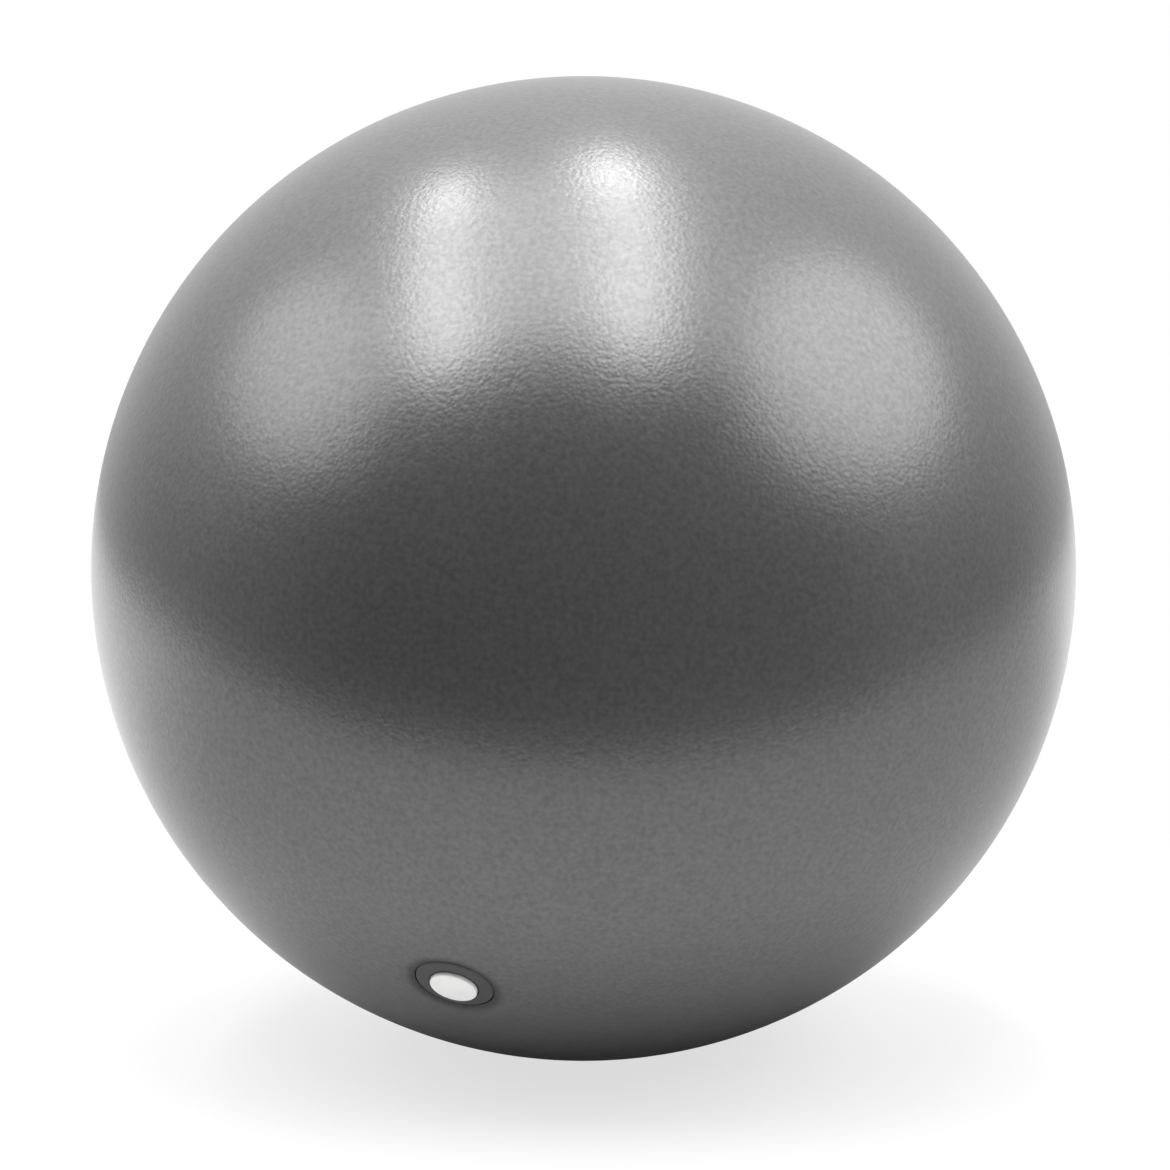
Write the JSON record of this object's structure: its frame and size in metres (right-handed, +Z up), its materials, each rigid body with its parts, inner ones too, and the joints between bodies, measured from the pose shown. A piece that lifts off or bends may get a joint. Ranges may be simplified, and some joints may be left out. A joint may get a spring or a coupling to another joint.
{
  "type": "pilates ball",
  "caption": "Small soft inflatable exercise ball with a finely grained satin skin, a flush valve low on one side and a push-in stopper; it supports or resists the body in pilates.",
  "frame": {"origin": "middle of the flat that the ball rests on, at the bottom centre of the bounding box", "axes": "+Z up; the valve axis lies in the YZ plane and points out to -Y and 45 degrees down; +X to the right when facing the valve from -Y"},
  "size_m": [0.25, 0.25, 0.2483],
  "materials": {
    "skin_vinyl": "soft pearl grey vinyl with a fine pebbled grain and a satin gloss",
    "valve_vinyl": "darker grey vinyl, smoother than the skin",
    "stopper_plastic": "white moulded polyethylene, satin"
  },
  "bodies": {
    "ball": {"ball_skin": "skin_vinyl", "valve_seat": "valve_vinyl"},
    "stopper": {"stopper": "stopper_plastic"}
  },
  "joints": [
    {"name": "stopper_pull", "type": "slide", "parent": "ball", "child": "stopper", "axis": [0, -0.7071, -0.7071], "range_m": [0, 0.022]}
  ]
}
